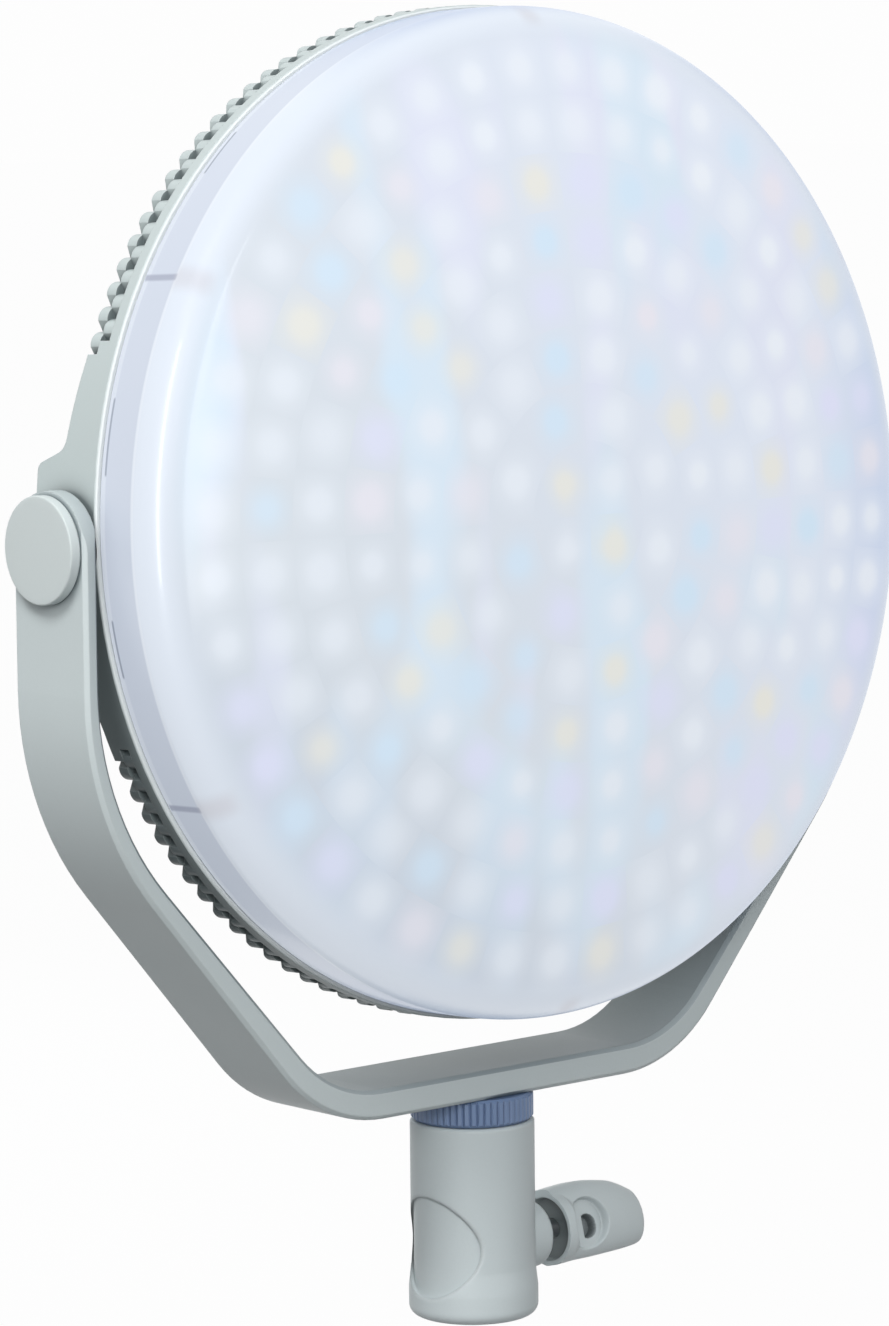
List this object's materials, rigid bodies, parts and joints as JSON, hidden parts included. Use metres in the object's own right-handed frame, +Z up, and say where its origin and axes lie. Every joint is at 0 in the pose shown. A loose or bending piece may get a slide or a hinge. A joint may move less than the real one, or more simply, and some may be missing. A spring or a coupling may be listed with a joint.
{
  "type": "round led panel light",
  "caption": "Round LED panel light with opal diffuser and finned rim, tilting in a bent yoke that pans on a clamping stand socket.",
  "frame": {"origin": "centre of the stand socket's mouth, at the receiver's lower face", "axes": "+Z up along the stand spigot, X along the tilt axis with the clamp wing and the tilt knob on +X, the light shines towards -Y"},
  "size_m": [0.3484, 0.1149, 0.407],
  "materials": {
    "stand_grey": "satin",
    "yoke_grey": "satin",
    "shell_silver": "satin",
    "cap_grey": "satin",
    "ring_blue": "anodised",
    "wing_grey": "satin",
    "screw_steel": "turned",
    "encoder_steel": "plain",
    "brass": "turned",
    "washer_black": "matte",
    "knob_black": "matte",
    "rocker_black": "gloss",
    "button_grey": "matte",
    "opal": "gloss opal",
    "peg_grey": "matte",
    "white_plastic": "matte",
    "board_white": "matte",
    "chip_yellow": "gloss",
    "plain_aluminium": "plain",
    "housing_grey": "matte",
    "fascia_black": "matte",
    "window_glass": "clear",
    "display_black": "gloss",
    "board_green": "satin"
  },
  "bodies": {
    "receiver": {"receiver_body": "stand_grey"},
    "clamp_pad": {"clamp_pad": "brass"},
    "clamp_wing": {"clamp_screw": "screw_steel", "clamp_wing": "wing_grey"},
    "lock_ring": {"lock_ring": "ring_blue"},
    "yoke": {"yoke": "yoke_grey", "swivel_post": "screw_steel", "thrust_washer": "washer_black", "post_clip": "screw_steel", "left_pivot_bolt": "screw_steel", "left_pivot_cap": "cap_grey", "left_pivot_washer": "washer_black", "right_pivot_washer": "washer_black", "knob_washer": "screw_steel"},
    "tilt_knob": {"tilt_knob": "knob_black", "tilt_stud": "screw_steel"},
    "head": {"rear_shell": "shell_silver", "diffuser": "opal", "diffuser_pegs": "peg_grey", "reflector": "white_plastic", "led_board": "board_white", "led_chips": "chip_yellow", "heat_spreader": "plain_aluminium", "shell_screws": "screw_steel", "rear_housing": "housing_grey", "housing_screws": "screw_steel", "fascia": "fascia_black", "display_window": "window_glass", "display_module": "display_black", "control_board": "board_green", "left_encoder": "encoder_steel", "right_encoder": "encoder_steel", "button_switches": "encoder_steel", "rocker_frame": "knob_black", "power_board": "board_green", "power_components": "display_black", "dc_socket": "knob_black", "usb_socket": "screw_steel", "left_pivot_bush": "brass", "right_pivot_bush": "brass"},
    "left_dial": {"left_dial": "knob_black", "left_shaft": "screw_steel"},
    "right_dial": {"right_dial": "knob_black", "right_shaft": "screw_steel"},
    "power_rocker": {"power_rocker": "rocker_black"},
    "button_1": {"button_1": "button_grey"},
    "button_2": {"button_2": "button_grey"},
    "button_3": {"button_3": "button_grey"},
    "button_4": {"button_4": "button_grey"}
  },
  "joints": [
    {"name": "pan", "type": "hinge", "parent": "receiver", "child": "yoke", "pos_m": [0, 0, 0.0712], "axis": [0, 0, 1], "continuous": true},
    {"name": "lock_ring_turn", "type": "hinge", "parent": "receiver", "child": "lock_ring", "pos_m": [0, 0, 0.0665], "axis": [0, 0, 1], "range_deg": [-180, 0]},
    {"name": "clamp_slide", "type": "slide", "parent": "receiver", "child": "clamp_pad", "axis": [-1, 0, 0], "range_m": [0, 0.001]},
    {"name": "clamp_turn", "type": "hinge", "parent": "clamp_pad", "child": "clamp_wing", "pos_m": [0.02, 0, 0.0215], "axis": [-1, 0, 0], "range_deg": [0, 360]},
    {"name": "tilt", "type": "hinge", "parent": "yoke", "child": "head", "pos_m": [0, 0, 0.2515], "axis": [1, 0, 0], "range_deg": [-85, 90]},
    {"name": "tilt_knob_turn", "type": "hinge", "parent": "yoke", "child": "tilt_knob", "pos_m": [0.165, 0, 0.2515], "axis": [-1, 0, 0], "range_deg": [-270, 0]},
    {"name": "left_dial_turn", "type": "hinge", "parent": "head", "child": "left_dial", "pos_m": [-0.052, 0.04367, 0.24346], "axis": [0, 0.9989, -0.0464], "continuous": true},
    {"name": "right_dial_turn", "type": "hinge", "parent": "head", "child": "right_dial", "pos_m": [0.052, 0.04367, 0.24346], "axis": [0, 0.9989, -0.0464], "continuous": true},
    {"name": "power_rocker_tilt", "type": "hinge", "parent": "head", "child": "power_rocker", "pos_m": [-0.05, 0.04439, 0.28047], "axis": [0, 0.0464, 0.9989], "range_deg": [0, 14]},
    {"name": "button_1_press", "type": "slide", "parent": "head", "child": "button_1", "axis": [0, -0.9989, 0.0464], "range_m": [0, 0.001], "stiffness_N_per_m": 300},
    {"name": "button_2_press", "type": "slide", "parent": "head", "child": "button_2", "axis": [0, -0.9989, 0.0464], "range_m": [0, 0.001], "stiffness_N_per_m": 300},
    {"name": "button_3_press", "type": "slide", "parent": "head", "child": "button_3", "axis": [0, -0.9989, 0.0464], "range_m": [0, 0.001], "stiffness_N_per_m": 300},
    {"name": "button_4_press", "type": "slide", "parent": "head", "child": "button_4", "axis": [0, -0.9989, 0.0464], "range_m": [0, 0.001], "stiffness_N_per_m": 300}
  ],
  "couplings": [
    {"joint": "clamp_turn", "follows": "clamp_slide", "rad_per_m": 6283.2}
  ]
}
